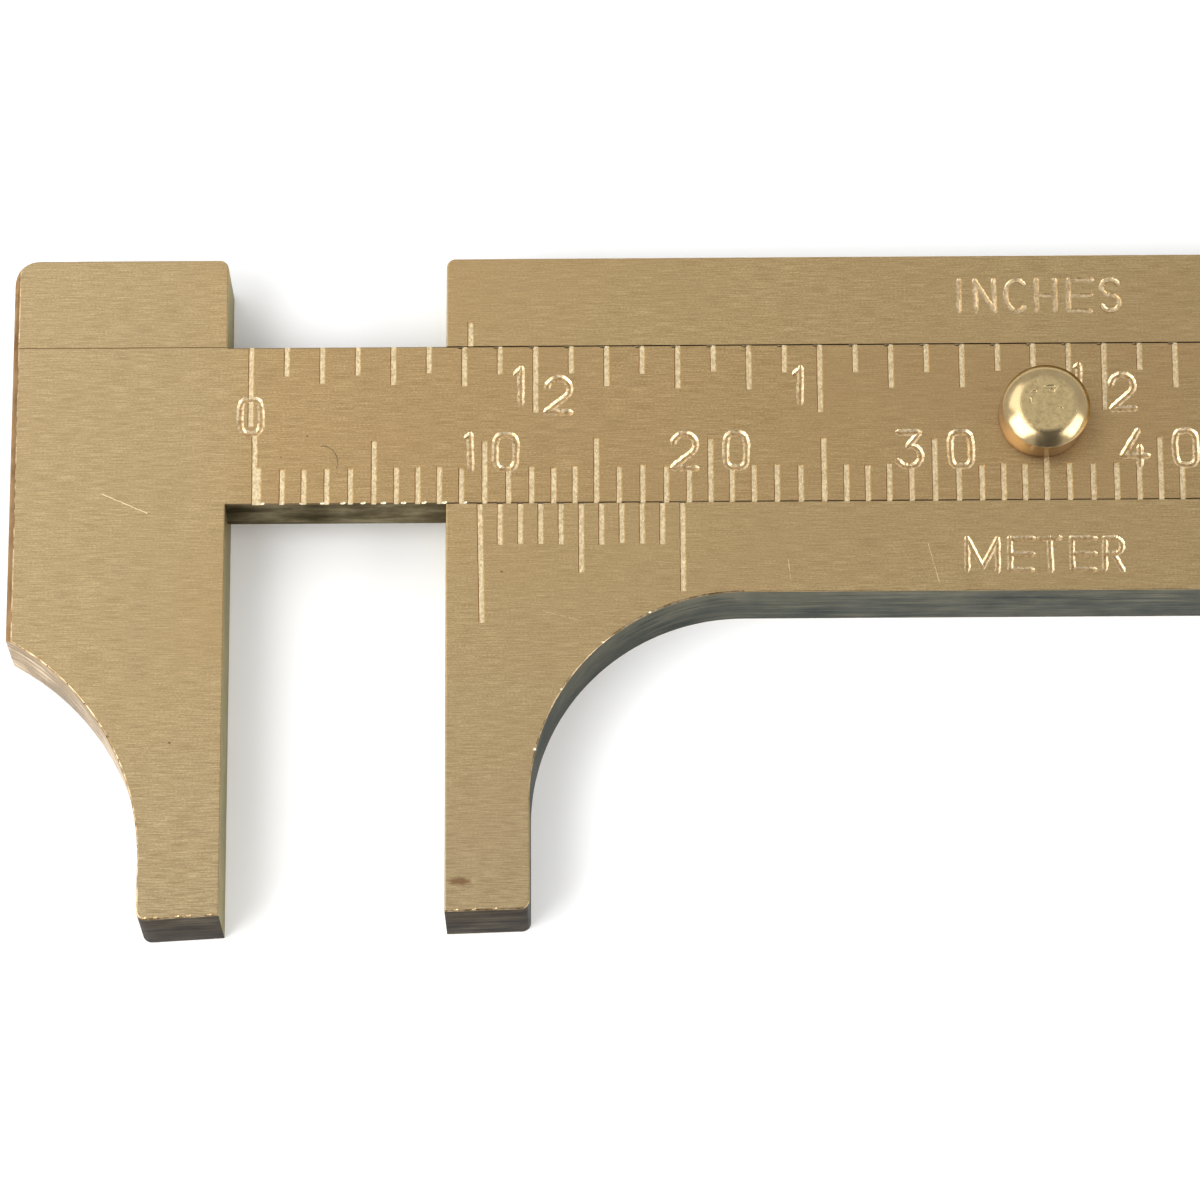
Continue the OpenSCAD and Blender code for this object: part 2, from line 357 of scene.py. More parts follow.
def brushed_brass(name, handled=(1, 1, 1)):
    """Faces: satin brass brushed along the slide, tarnished and scratched, and paler and bluer towards the
    jaws.

    The handled tone colours what lies to the right of the sliding jaw.
    """
    material, tree, surface = shader(name, Anisotropic=0.4)
    fine = noise(tree, (0.9, 24, 24), detail=2, roughness=0.6)
    broad = noise(tree, (0.2, 5, 5), detail=3)
    speckle = noise(tree, (10, 16, 16), detail=2)
    grain = blend_values(tree, blend_values(tree, fine, broad, 0.15), speckle, 0.42)
    dark, middle, light = (0.315, 0.214, 0.1), (0.445, 0.316, 0.152), (0.605, 0.45, 0.238)
    colour = ramp(tree, grain, (0.34, dark), (0.5, middle), (0.66, light))
    tarnish = ramp(tree, noise(tree, (0.11, 0.17, 0.17), detail=5), (0.42, 0.0), (0.68, 0.45))
    colour = mix(tree, tarnish, colour, (0.435, 0.297, 0.145))
    # Paler and bluer, with stronger brush streaks, towards the tips and over the sliding jaw
    towards_jaws = calculate(tree, "MAXIMUM", rise(tree, "Y", *TOWARDS_JAWS_Y, 1.0), rise(tree, "X", *TOWARDS_JAWS_X, 0.5))
    colour = mix(tree, towards_jaws, colour, (1.0, 1.075, 1.22), "MULTIPLY")
    colour = mix(tree, rise(tree, "X", JAW_HI.x, ZERO_X, 1.0), colour, handled, "MULTIPLY")
    brushing = ramp(tree, noise(tree, (1.1, 21, 21), detail=2), (0.47, 0.0), (0.63, 0.75))
    colour = mix(tree, calculate(tree, "MULTIPLY", brushing, towards_jaws), colour, (0.29, 0.205, 0.11))
    scratch = ramp(tree, noise(tree, (0.35, 30, 30), detail=1), (0.68, 0.0), (0.74, 1.0))
    colour = mix(tree, calculate(tree, "MULTIPLY", scratch, 0.15), colour, (0.66, 0.51, 0.3))
    pits = ramp(tree, noise(tree, (6, 9, 9), detail=1), (0.77, 0.0), (0.82, 0.5))
    colour = mix(tree, pits, colour, (0.24, 0.16, 0.08))
    for centre, radii, stain in STAINS:
        colour = mix(tree, calculate(tree, "MULTIPLY", spot(tree, centre, radii), 0.8), colour, stain)
    tree.links.new(colour, surface.inputs["Base Color"])
    tree.links.new(ramp(tree, grain, (0.34, 0.34), (0.66, 0.42)), surface.inputs["Roughness"])
    bump(tree, surface, grain, 0.006)
    # Stretched highlights run across the brushing
    tangent = add(tree, "ShaderNodeTangent", direction_type="UV_MAP", uv_map="grain")
    tree.links.new(tangent.outputs["Tangent"], surface.inputs["Tangent"])
    return material


def cut_side(
    name, shades, per_mm=(0.3, 0.3, 9), spread=0.18, roughness=(0.38, 0.55), edge_tint=(0.8, 0.75, 0.6)
):
    """Sawn and filed sides: dull metal with streaks in dark, middle and light shades."""
    material, tree, surface = shader(name, edge_tint)
    streaks = noise(tree, per_mm, detail=5, roughness=0.65)
    patches = noise(tree, (0.5, 0.5, 0.5), detail=4)
    shade = blend_values(tree, streaks, patches, 0.35)
    stops = zip((0.5 - spread, 0.5, 0.5 + spread), shades)
    tree.links.new(ramp(tree, shade, *stops), surface.inputs["Base Color"])
    tree.links.new(ramp(tree, streaks, (0.3, roughness[0]), (0.7, roughness[1])), surface.inputs["Roughness"])
    bump(tree, surface, streaks, 0.03)
    return material


def fresh_cut(name, dark, light, per_mm, roughness=0.33, stops=(0.34, 0.46, 0.62)):
    """Bright cut brass with a torn, glittering grain: engraved lines, nicked edges and bevels."""
    material, tree, surface = shader(name, Roughness=roughness)
    grain = noise(tree, per_mm, detail=4, roughness=0.7)
    middle = tuple((d + l) / 2 for d, l in zip(dark, light))
    colour = ramp(tree, grain, *zip(stops, (dark, middle, light)))
    tree.links.new(colour, surface.inputs["Base Color"])
    bump(tree, surface, grain, 0.015)
    return material


def polished_brass():
    """Top of the turned knob: bright brass, dulled on its flat."""
    material, tree, surface = shader("polished_brass", (0.4, 0.32, 0.2))
    cloud = noise(tree, (1.2, 1.2, 1.2), detail=5)
    colour = ramp(tree, cloud, (0.35, (0.5, 0.37, 0.19)), (0.65, (0.6, 0.455, 0.245)))
    up = add(tree, "ShaderNodeSeparateXYZ")
    tree.links.new(add(tree, "ShaderNodeNewGeometry").outputs["Normal"], up.inputs["Vector"])
    flat = ramp(tree, up.outputs["Z"], (0.93, 0.0), (0.998, 1.0))
    speckle = noise(tree, (6, 6, 6), detail=5, roughness=0.7)
    worn = ramp(tree, speckle, (0.32, (0.4, 0.3, 0.15)), (0.5, (0.52, 0.4, 0.2)), (0.68, (0.6, 0.47, 0.25)))
    colour = mix(tree, flat, colour, worn)
    tree.links.new(colour, surface.inputs["Base Color"])
    dull = calculate(tree, "MULTIPLY", flat, 0.21)
    shine = ramp(tree, cloud, (0.3, 0.17), (0.7, 0.25))
    tree.links.new(calculate(tree, "ADD", shine, dull), surface.inputs["Roughness"])
    bump(tree, surface, calculate(tree, "MULTIPLY", speckle, flat), 0.02)
    return material


def knob_wall():
    """Wall of the turned knob: bright brass with fine turning rings, and painted shade darkening its foot."""
    material, tree, surface = shader("knob_wall", (0.75, 0.8, 1.0), Roughness=0.24)
    rings = noise(tree, (0.4, 0.4, 9), detail=3)
    colour = ramp(tree, rings, (0.35, (0.5, 0.38, 0.23)), (0.65, (0.6, 0.46, 0.29)))
    # Painted shade: the wall grows darker towards its foot, where it meets the face
    foot_shade = rise(tree, "Z", FRONT_Z + FOOT_SHADE_HEIGHT, FRONT_Z, 0.8)
    colour = mix(tree, foot_shade, colour, (0.2, 0.11, 0.045))
    tree.links.new(colour, surface.inputs["Base Color"])
    bump(tree, surface, rings, 0.006)
    return material


def spring_bronze():
    """Hidden leaf spring: rolled strip, redder than the brass."""
    material, tree, surface = shader("spring_bronze", Roughness=0.35)
    rolled = noise(tree, (0.4, 14, 14), detail=4)
    colour = ramp(tree, rolled, (0.35, (0.36, 0.2, 0.09)), (0.65, (0.5, 0.3, 0.14)))
    tree.links.new(colour, surface.inputs["Base Color"])
    bump(tree, surface, rolled, 0.01)
    return material


PALETTE = {
    FACE: brushed_brass("brushed_brass"),
    BAR: brushed_brass("slide_brass", handled=(0.97, 0.935, 0.91)),
    # Sides: their dark, bluish colour and edge tint are a painted reflection of a dark surround
    SIDE: cut_side(
        "side_painted_dark_reflection", ((0.08, 0.076, 0.055), (0.15, 0.14, 0.1), (0.235, 0.213, 0.15)), (0.3, 0.3, 7), 0.14,
        edge_tint=(0.38, 0.45, 0.53),
    ),
    GROUND: cut_side("measuring_face", ((0.18, 0.16, 0.09), (0.3, 0.27, 0.16), (0.43, 0.38, 0.23))),
    # Tip ends and stop pin: their dark grey colour and edge tint are a painted reflection of a dark surround
    TIP: cut_side(
        "end_painted_dark_reflection", ((0.06, 0.049, 0.034), (0.11, 0.09, 0.062), (0.18, 0.15, 0.105)), (0.3, 0.3, 5), 0.14,
        edge_tint=(0.35, 0.38, 0.44),
    ),
    FLANK: cut_side(
        "slide_flank", ((0.03, 0.024, 0.014), (0.12, 0.098, 0.06), (0.27, 0.23, 0.15)), (0.3, 0.3, 1.6), 0.12
    ),
    CURVE: cut_side(
        "milled_curve", ((0.09, 0.066, 0.048), (0.32, 0.246, 0.174), (0.9, 0.8, 0.64)), (0.3, 0.3, 3), 0.14,
        (0.2, 0.36), (0.97, 0.87, 0.73),
    ),
    EDGE: fresh_cut(
        "worn_edge", (0.22, 0.145, 0.068), (0.66, 0.5, 0.3), per_mm=(1.7, 1.7, 1.7), stops=(0.42, 0.52, 0.64)
    ),
    # Brown: painted reflection on the outer bevel, painted shadow on the ticks' left flanks, and the real
    # dark of the joint line's flanks
    BEVEL: fresh_cut("brown_painted_dark_and_joint", (0.27, 0.15, 0.066), (0.44, 0.275, 0.135), per_mm=(0.8, 0.8, 0.8)),
    LINE: fresh_cut(
        "engraved_line", (0.52, 0.385, 0.205), (0.94, 0.8, 0.53), (11, 7, 7), 0.42, stops=(0.32, 0.5, 0.68)
    ),
    FIGURE: fresh_cut("figure_flank", (0.42, 0.26, 0.11), (1.0, 0.84, 0.56), (7, 7, 7), 0.42),
    FLOOR: fresh_cut("figure_floor", (0.3, 0.185, 0.08), (0.52, 0.37, 0.19), (7, 7, 7), 0.42),
    WORN: fresh_cut("worn_letter", (0.4, 0.28, 0.14), (0.76, 0.6, 0.37), (5, 5, 5), 0.42),
    # Nicks: their near-white colour is a painted glint
    NICK: fresh_cut("nick_painted_glint", (0.85, 0.74, 0.5), (1.0, 0.96, 0.82), (7, 7, 7), 0.5),
    GROOVE: cut_side(
        "groove_wall", ((0.14, 0.105, 0.06), (0.24, 0.18, 0.105), (0.33, 0.255, 0.155)), (0.25, 7, 7)
    ),
    POLISH: polished_brass(),
    WALL: knob_wall(),
}


def new_object(name, data):
    """New object in the scene for a mesh, a light or a camera."""
    made = bpy.data.objects.new(name, data)
    bpy.context.scene.collection.objects.link(made)
    return made


def from_bmesh(name, bm):
    """Closed bmesh with outward normals, as an object with every material slot."""
    bmesh.ops.recalc_face_normals(bm, faces=bm.faces)
    mesh = bpy.data.meshes.new(name)
    bm.to_mesh(mesh)
    bm.free()
    for slot in range(len(PALETTE)):
        mesh.materials.append(PALETTE[slot])
    return new_object(name, mesh)


def ellipse_arc(centre, radii, start, end, steps):
    """Points along an elliptical arc between two angles in degrees, both ends included."""
    angles = [math.radians(start + (end - start) * i / steps) for i in range(steps + 1)]
    return [(centre[0] + radii[0] * math.cos(a), centre[1] + radii[1] * math.sin(a)) for a in angles]


def arc(centre, radius, start, end, steps):
    """Points along a circular arc between two angles in degrees, both ends included."""
    return ellipse_arc(centre, (radius, radius), start, end, steps)


def direction(angle):
    """Unit vector at an angle in degrees, as x and y."""
    return math.cos(math.radians(angle)), math.sin(math.radians(angle))


def inset(points, amount):
    """Anticlockwise outline moved inwards, with mitred corners."""
    moved = []
    for i, point in enumerate(points):
        before = (point - points[i - 1]).normalized()
        after = (points[(i + 1) % len(points)] - point).normalized()
        middle = (before + after).normalized()
        moved.append(point + Vector((-middle.y, middle.x)) * amount / middle.dot(before))
    return moved


def plate(name, runs):
    """Plate with rounded edges; runs of (side slot, edge slot, points) follow its outline anticlockwise."""
    sides = [(side, edge) for side, edge, run in runs for _ in run]
    outline = [Vector(point) for _, _, run in runs for point in run]
    round_off = [math.radians(90 * i / EDGE_STEPS) for i in range(EDGE_STEPS + 1)]
    rises = [(EDGE_BREAK * (1 - math.cos(a)), EDGE_BREAK * (1 - math.sin(a))) for a in round_off]
    lower = [(moved, BODY_LO.z + z) for moved, z in reversed(rises)]
    upper = [(moved, FRONT_Z - z) for moved, z in rises]
    bm = bmesh.new()
    rings = [[bm.verts.new((*p, z)) for p in inset(outline, moved)] for moved, z in lower + upper]
    bm.faces.new(rings[-1]).material_index = FACE
    bm.faces.new(reversed(rings[0])).material_index = FACE
    for level, (low, high) in enumerate(zip(rings, rings[1:])):
        for i, (side, edge) in enumerate(sides):
            j = (i + 1) % len(sides)
            face = bm.faces.new((low[i], low[j], high[j], high[i]))
            face.material_index = side if level == EDGE_STEPS else edge
    return from_bmesh(name, bm)


def prism(name, near, far, slot, end_slot):
    """Prism between two outlines of the same shape."""
    bm = bmesh.new()
    one, two = ([bm.verts.new(point) for point in outline] for outline in (near, far))
    for end in (one, two):
        bm.faces.new(end).material_index = end_slot
    for i in range(len(one)):
        j = (i + 1) % len(one)
        bm.faces.new((one[i], one[j], two[j], two[i])).material_index = slot
    return from_bmesh(name, bm)


def prism_x(name, section, x0, x1, slot, end_slot=None):
    """Prism along X over a section of (y, z) points; its ends may have a slot of their own."""
    near, far = ([(x, y, z) for y, z in section] for x in (x0, x1))
    return prism(name, near, far, slot, slot if end_slot is None else end_slot)


def block(name, low, high, slot):
    """Rectangular cutter between two corners."""
    section = [(low[1], low[2]), (high[1], low[2]), (high[1], high[2]), (low[1], high[2])]
    return prism_x(name, section, low[0], high[0], slot)


def lathe(name, centre, profile, slot, steps=96, offset=lambda r, z: Vector((0, 0))):
    """Solid turned round an upright axis from (radius, z) points that start and end on the axis.

    The offset gives how far aside a ring of the solid lies.
    """
    def place(r, a, z):
        x, y = centre.xy + offset(r, z)
        return x + r * math.cos(a), y + r * math.sin(a), z

    bm = bmesh.new()
    bottom = bm.verts.new(place(0, 0, profile[0][1]))
    top = bm.verts.new(place(0, 0, profile[-1][1]))
    turn = [2 * math.pi * i / steps for i in range(steps)]
    rings = [[bm.verts.new(place(r, a, z)) for a in turn] for r, z in profile[1:-1]]
    for i in range(steps):
        j = (i + 1) % steps
        bm.faces.new((bottom, rings[0][j], rings[0][i]))
        bm.faces.new((top, rings[-1][i], rings[-1][j]))
        for lower, upper in zip(rings, rings[1:]):
            bm.faces.new((lower[i], lower[j], upper[j], upper[i]))
    for face in bm.faces:
        face.material_index = slot
    return from_bmesh(name, bm)


def rivet_profile(radius, low, high):
    """Half section of a shank with a countersunk lower end."""
    return [(0, low), (radius + RIVET_FLARE, low), (radius, low + RIVET_FLARE), (radius, high), (0, high)]


def rivet_hole(name, centre, radius, low, high):
    """Cutter for the hole of a rivet, open at its countersunk lower end."""
    return lathe(name, centre, rivet_profile(radius, low - SKIN, high), GROOVE, HOLE_STEPS)


def cut(piece, *cutters):
    """Takes the cutters away from the piece and deletes them; shapes in one cutter may cross."""
    for cutter in cutters:
        step = piece.modifiers.new("cut", "BOOLEAN")
        step.operation = "DIFFERENCE"
        step.solver = "EXACT"
        step.material_mode = "INDEX"
        step.use_self = True
        step.object = cutter
    drawn = piece.evaluated_get(bpy.context.evaluated_depsgraph_get())
    mesh = bpy.data.meshes.new_from_object(drawn)
    piece.modifiers.clear()
    piece.data = mesh
    for cutter in cutters:
        bpy.data.objects.remove(cutter)


def dovetail(low, high, gap=0.0):
    """Section of the slide between two heights, widened by a gap on each flank."""
    bottom, top = (SLIDE_W / 2 + (FRONT_Z - z) * FLANK_LEAN + gap for z in (low, high))
    return [(-bottom, low), (bottom, low), (top, high), (-top, high)]


class Engraver:
    """Collects grooves and nicks as closed shapes, in layers that are cut into a face one after another."""

    # Height of a groove's rim above the face, step along a line, share of the section at a tapered end
    LIFT = 0.06
    STEP = 0.16
    TAPER = 0.45
    # Unevenness of the width, per wander, and of the depth
    WIDENING = 6
    DEPTHS = (0.85, 1.1)
    # Angles in degrees: how far a figure may turn, and how much a nick slants
    TURN = 1.5
    SLANTS = (5, 20)
    # Half lengths of the nicks along a curve, and their other half sizes as a share of that
    NICK_LENGTHS = (0.05, 0.1)
    NICK_SHARE = 0.7

    Station = namedtuple("Station", "place along across width depth")

    def __init__(self):
        self.layers = defaultdict(bmesh.new)

    def section(self, bm, station, floor_share):
        """Four corners of the groove's section: left top, left floor, right floor, right top."""
        half = station.width / 2
        floor = half * floor_share
        rim = half + (half - floor) * self.LIFT / station.depth
        low = -station.depth
        places = ((-rim, self.LIFT), (-floor, low), (floor, low), (rim, self.LIFT))
        return [bm.verts.new((*(station.place + station.across * s), FRONT_Z + z)) for s, z in places]

    def groove(self, points, stroke, layer=0, closed=False):
        """Groove along a smooth path, with the small unevenness of a hand-fed cutter."""
        bm = self.layers[layer]
        path = [Vector(p) for p in points]
        stations = []
        for i, point in enumerate(path):
            before = path[i - 1] if i or closed else point
            after = path[(i + 1) % len(path)] if i + 1 < len(path) or closed else point
            along = (after - before).normalized()
            across = Vector((-along.y, along.x))
            place = point + across * rng.uniform(-stroke.wander, stroke.wander)
            width = stroke.width * (1 + rng.uniform(-self.WIDENING, self.WIDENING) * stroke.wander)
            depth = stroke.depth * rng.uniform(*self.DEPTHS)
            stations.append(self.Station(place, along, across, width, depth))
        if stroke.tapered and not closed:
            stations = [self.taper(stations[0], -1), *stations, self.taper(stations[-1], 1)]
        rows = [self.section(bm, station, stroke.floor_share) for station in stations]
        upward = path[-1].y > path[0].y
        sides = (stroke.right, stroke.left) if upward else (stroke.left, stroke.right)
        slots = (sides[0], stroke.floor, sides[1], stroke.floor)
        pairs = list(zip(rows, rows[1:]))
        if closed:
            pairs.append((rows[-1], rows[0]))
        for one, two in pairs:
            for k in range(4):
                n = (k + 1) % 4
                bm.faces.new((one[k], one[n], two[n], two[k])).material_index = slots[k]
        if not closed:
            for row in (rows[0], rows[-1]):
                bm.faces.new(row).material_index = stroke.right

    def taper(self, end, sign):
        """Narrower, shallower station just past an end of the groove."""
        place = end.place + end.along * sign * end.width * self.TAPER
        return end._replace(place=place, width=end.width * self.TAPER, depth=end.depth * self.TAPER)

    def line(self, start, end, stroke=TICK, layer=0):
        """Straight groove between two points."""
        start, end = Vector(start), Vector(end)
        count = max(2, round((end - start).length / self.STEP))
        points = [start.lerp(end, i / count) for i in range(count + 1)]
        self.groove(points, stroke, layer)

    def figure(self, text, centre, height, stroke=DIGIT):
        """One figure or letter, with its strokes in layers of their own above the graduations."""
        strokes, glyph_w = GLYPHS[text]
        turn = Matrix.Rotation(math.radians(rng.uniform(-self.TURN, self.TURN)), 2)
        size = height - stroke.width
        for i, (points, closed) in enumerate(strokes):
            placed = [
                Vector(centre) + turn @ Vector(((x - glyph_w / 2) * size, (y - 0.5) * size))
                for x, y in points
            ]
            self.groove(placed, stroke, layer=FIGURE_LAYER + i, closed=closed)

    def scoop(self, x, y, radii, layer=0, slot=NICK, z=FRONT_Z):
        """Small nick or dent where a tool touched the metal: a slanted ellipsoid."""
        bm = self.layers[layer]
        slant = Matrix.Rotation(math.radians(rng.uniform(*self.SLANTS)), 4, "Z")
        shape = Matrix.Translation((x, y, z)) @ slant @ Matrix.Diagonal((*radii, 1))
        made = bmesh.ops.create_icosphere(bm, subdivisions=2, radius=1, matrix=shape)
        for face in {f for vert in made["verts"] for f in vert.link_faces}:
            face.material_index = slot

    def nick_curve(self, centre, radius, angles, slot):
        """Small nicks along a concave front edge, at angles in degrees."""
        for angle in angles:
            size = rng.uniform(*self.NICK_LENGTHS)
            x, y = arc(centre, radius + EDGE_BREAK / 2, angle, angle, 1)[0]
            self.scoop(x, y, (size, size * self.NICK_SHARE, size * self.NICK_SHARE), slot=slot)

    def nick_tip(self, left, low, width, climb, places):
        """Small nicks along the front edge of a tip, which climbs from its left corner."""
        for x in places:
            self.scoop(left + x, low + x / width * climb + EDGE_BREAK, TIP_NICK, slot=FIGURE)

    def word(self, letters, gaps, left, middle, height, stroke):
        """Row of letters that starts at x = left, with the gap before each letter."""
        for letter, gap in zip(letters, gaps):
            width = GLYPHS[letter][1] * (height - stroke.width) + stroke.width
            self.figure(letter, (left + gap + width / 2, middle), height, stroke)
            left += gap + width

    def cutters(self, name):
        """The layers as cutting objects, lowest number first."""
        made = []
        for i, bm in sorted(self.layers.items(), key=lambda layer: layer[0]):
            bmesh.ops.triangulate(bm, faces=bm.faces)
            made.append(from_bmesh(f"{name}_{i}", bm))
        return made


def straight(start, end, steps=9):
    """Open stroke between two points."""
    start, end = Vector(start), Vector(end)
    return [start.lerp(end, i / steps) for i in range(steps + 1)], False


def bars(*ends):
    """Straight open strokes between pairs of points."""
    return [straight(start, end) for start, end in ends]


def curve(centre, radii, start, end, steps=26):
    """Open stroke along an elliptical arc, angles in degrees."""
    return ellipse_arc(centre, radii, start, end, steps), False


def loop(centre, radii, square=1.0, steps=40):
    """Closed stroke round an oval; square below 1 fills out its corners."""
    def side(value):
        return math.copysign(abs(value) ** square, value)

    def place(a):
        return centre[0] + radii[0] * side(math.cos(a)), centre[1] + radii[1] * side(math.sin(a))

    return [place(2 * math.pi * i / steps) for i in range(steps)], True


# Single-stroke figures and letters on a height of one: strokes and width
GLYPHS = {
    "0": ([loop((0.3, 0.5), (0.29, 0.5), 0.58)], 0.6),
    "1": ([straight((0.2, 1), (0.2, 0)), straight((0.06, 0.86), (0.17, 0.96), steps=4)], 0.3),
    "plain 1": ([straight((0.2, 1), (0.2, 0)), straight((0.13, 0.95), (0.18, 0.98), steps=2)], 0.3),
    "2": (
        [
            curve((0.33, 0.69), (0.31, 0.31), 172, -38),
            straight((0.56, 0.48), (0.03, 0.03)),
            straight((0.03, 0.0), (0.66, 0.0)),
        ],
        0.68,
    ),
    "3": (
        [
            straight((0.03, 1.0), (0.58, 1.0)),
            straight((0.58, 0.98), (0.3, 0.61), steps=7),
            curve((0.3, 0.31), (0.33, 0.31), 88, -150),
        ],
        0.64,
    ),
    "4": (bars(((0.45, 1.0), (0.03, 0.28)), ((0.03, 0.28), (0.7, 0.28)), ((0.5, 0.52), (0.5, 0))), 0.7),
    "5": (
        [
            straight((0.6, 1.0), (0.1, 1.0)),
            straight((0.1, 0.98), (0.06, 0.58), steps=6),
            curve((0.3, 0.32), (0.33, 0.32), 128, -145),
        ],
        0.64,
    ),
    "6": ([loop((0.33, 0.3), (0.31, 0.3)), curve((0.75, 0.32), (0.72, 0.68), 118, 172, steps=12)], 0.66),
    "7": (bars(((0.03, 1.0), (0.63, 1.0)), ((0.63, 0.98), (0.22, 0.0))), 0.66),
    "8": ([loop((0.33, 0.76), (0.25, 0.24)), loop((0.33, 0.26), (0.31, 0.26))], 0.66),
    "C": ([curve((0.33, 0.5), (0.33, 0.5), 50, 310)], 0.56),
    "E": (bars(((0, 0), (0, 1)), *(((0, y), (0.66 + y / 25, y)) for y in (0, 0.5, 1))), 0.68),
    "H": (bars(((0, 0), (0, 1)), ((0.56, 0), (0.56, 1)), ((0, 0.5), (0.56, 0.5))), 0.56),
    "I": (bars(((0, 0), (0, 1))), 0.0),
    "M": (
        bars(((0, 0), (0, 1)), ((0.92, 0), (0.92, 1)), ((0, 1), (0.46, 0.1)), ((0.92, 1), (0.46, 0.1))),
        0.92,
    ),
    "N": (bars(((0, 0), (0, 1)), ((0, 1), (0.56, 0)), ((0.56, 0), (0.56, 1))), 0.56),
    "R": (
        [
            *bars(((0, 0), (0, 1)), ((0, 1), (0.28, 1))),
            curve((0.28, 0.75), (0.24, 0.25), 90, -90),
            *bars(((0.28, 0.5), (0, 0.5)), ((0.24, 0.5), (0.54, 0))),
        ],
        0.54,
    ),
    "S": ([curve((0.27, 0.75), (0.26, 0.25), 25, 262), curve((0.27, 0.25), (0.27, 0.25), 90, -160)], 0.54),
    "T": (bars(((0, 1), (0.6, 1)), ((0.3, 1), (0.3, 0))), 0.6),
}


def uneven(length):
    """Length of a graduation line, as uneven as hand engraving leaves it."""
    return length + rng.uniform(-LINE_UNEVEN, LINE_UNEVEN)


def creep(line):
    """Periodic error of the millimetre lines, as the screw of a dividing machine leaves it."""
    return CREEP_MEAN + CREEP_SWING * math.sin(2 * math.pi * (line - CREEP_START) / CREEP_PERIOD)


def vernier(engraver):
    """Vernier lines below the slide, and the inch index above it."""
    edge = HIGH_EDGE + FLANK_GAP
    for i in range(VERNIER_LINES + 1):
        x = i * VERNIER_PITCH
        lean = 0 if i else VERNIER_LEAN
        length = uneven(VERNIER_LONG_LINES.get(i, VERNIER_LINE))
        engraver.line((x, FLANK_GAP - edge), (x + lean, -edge - length))
    engraver.line((-INCH_SHIFT, edge - FLANK_GAP), (-INCH_SHIFT, edge + INDEX_LINE))


def body_piece():
    """Channelled body with the fixed jaw, the vernier, the inch index and the names of the units."""
    tip_x = FACE_X + FIXED_TIP_W
    low_y, tail_x = -HALF_H, BODY_HI.x
    tip_corner = (tip_x - CORNER_R, BODY_LO.y + FIXED_TIP_SLOPE + CORNER_R)
    curve_centre = (tip_x + FIXED_CURVE_R, low_y - FIXED_CURVE_R)
    outline = [
        (TIP, EDGE, [(FACE_X, BODY_LO.y)] + arc(tip_corner, CORNER_R, -88, -45, 6)),
        (SIDE, FACE, arc(tip_corner, CORNER_R, -40, 0, 6)),
        (SIDE, EDGE, arc(curve_centre, FIXED_CURVE_R, 180, 91.5, 60)),
        (SIDE, FACE, [(tip_x + FIXED_CURVE_R, low_y)]),
        (SIDE, FACE, arc((tail_x - CORNER_R, low_y + CORNER_R), CORNER_R, -90, 0, 10)),
        (SIDE, FACE, arc((tail_x - CORNER_R, HALF_H - CORNER_R), CORNER_R, 0, 90, 10)),
        (GROUND, FACE, arc((FACE_X + CORNER_R, HALF_H - CORNER_R), CORNER_R, 90, 180, 10)),
    ]
    piece = plate("gauge_body", outline)
    groove = dovetail(GROOVE_Z, FRONT_Z + OVER, FLANK_GAP)
    gap = Vector((SPRING_GAP, SPRING_GAP, 0))
    pocket_lo, pocket_hi = SPRING_LO - gap, SPRING_HI + gap
    pocket_hi.z = SLIDE_LO.z
    cut(
        piece,
        prism_x("groove", groove, FACE_X - OVER, tail_x + OVER, GROOVE),
        block("pocket", pocket_lo, pocket_hi, GROOVE),
        rivet_hole("pin_hole", PIN_CENTRE, PIN_R, BODY_LO.z, SLIDE_LO.z),
    )
    engraver = Engraver()
    vernier(engraver)
    for word in UNIT_WORDS:
        engraver.word(*word)
    for start, end in BODY_SCRATCHES:
        engraver.line(start, end, FAINT_SCRATCH)
    engraver.nick_tip(FACE_X, BODY_LO.y, FIXED_TIP_W, FIXED_TIP_SLOPE, FIXED_TIP_NICKS)
    engraver.nick_curve(curve_centre, FIXED_CURVE_R, FIXED_CURVE_NICKS, NICK)
    cut(piece, *engraver.cutters("body_marks"))
    return piece


def slide_edge(side):
    """Cutter that breaks one front edge of the slide, from the sliding jaw to the tail."""
    section = [
        (side * (HIGH_EDGE - SLIDE_EDGE), FRONT_Z),
        (side * (HIGH_EDGE + SLIDE_EDGE), FRONT_Z - 2 * SLIDE_EDGE),
        (side * (HIGH_EDGE + SLIDE_EDGE), FRONT_Z + SLIDE_EDGE),
        (side * (HIGH_EDGE - SLIDE_EDGE), FRONT_Z + SLIDE_EDGE),
    ]
    return prism_x("slide_edge", section, JAW_HI.x, SLIDE_HI.x + OVER, GROOVE)


def lean_cutter(name, x, slope, slot):
    """Wedge that takes away all that lies left of the line x of the front face, above a slope in degrees."""
    reach = 1.0
    drop = reach * math.tan(math.radians(slope))
    section = [(x + reach, FRONT_Z + drop), (x - reach, FRONT_Z - drop), (x - reach, FRONT_Z + drop)]
    low, high = ([(px, y, z) for px, z in section] for y in (JAW_LO.y - OVER, JAW_HI.y + OVER))
    return prism(name, low, high, slot, slot)


def outer_bevel(name):
    """Cutters for the bevel along the sliding jaw's outer side, and for the worn edge beside it."""
    x = JAW_LO.x + OUTER_BEVEL
    return [
        lean_cutter(f"{name}_brown", x, OUTER_BEVEL_SLOPE, BEVEL),
        lean_cutter(f"{name}_worn", x + WORN_BEVEL, WORN_BEVEL_SLOPE, EDGE),
    ]


